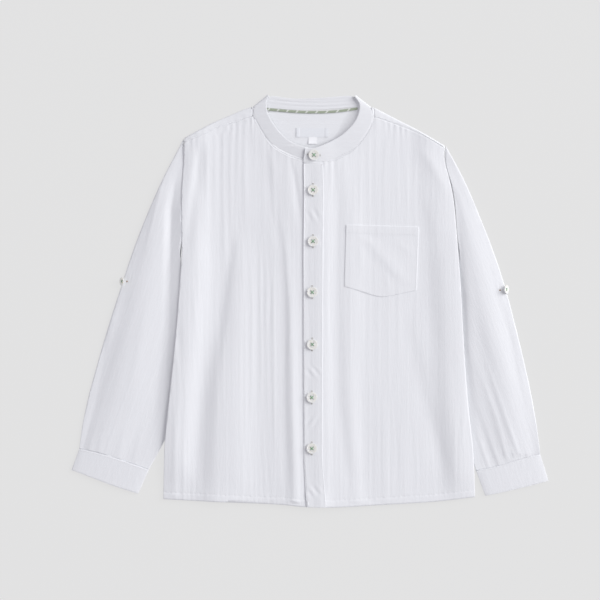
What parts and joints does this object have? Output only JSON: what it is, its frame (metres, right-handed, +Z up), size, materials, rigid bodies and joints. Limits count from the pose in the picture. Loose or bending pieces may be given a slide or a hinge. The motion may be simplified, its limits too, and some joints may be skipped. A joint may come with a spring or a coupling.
{
  "type": "mandarin collar shirt",
  "caption": "Child's long-sleeved shirt with a band collar, buttoned front placket, patch pocket and roll-up sleeve buttons, laid flat on its back.",
  "frame": {"origin": "the middle of the laid garment's footprint, on the surface it lies on", "axes": "+X to the viewer's right across the garment, +Y towards the collar, +Z up from the surface, out of the front of the shirt"},
  "size_m": [0.572, 0.495, 0.0108],
  "materials": {
    "shirting": "white cotton shirting, plain weave with a faint lengthwise stripe in the weave, matt",
    "neck_tape": "green-grey woven tape with thin pale diagonal stripes",
    "label": "white woven label cloth, bare",
    "button": "off-white pearly polyester, softly glossy"
  },
  "bodies": {
    "root": {"back_panel": "shirting", "yoke": "shirting", "front_left": "shirting", "front_right": "shirting", "placket": "shirting", "collar_band": "shirting", "neck_tape": "neck_tape", "main_label": "label", "size_label": "label", "pocket": "shirting", "sleeve_left": "shirting", "sleeve_right": "shirting", "cuff_left": "shirting", "cuff_right": "shirting", "collar_button": "button", "placket_button_1": "button", "placket_button_2": "button", "placket_button_3": "button", "placket_button_4": "button", "placket_button_5": "button", "placket_button_6": "button", "sleeve_button_left": "button", "sleeve_button_right": "button"}
  },
  "joints": []
}
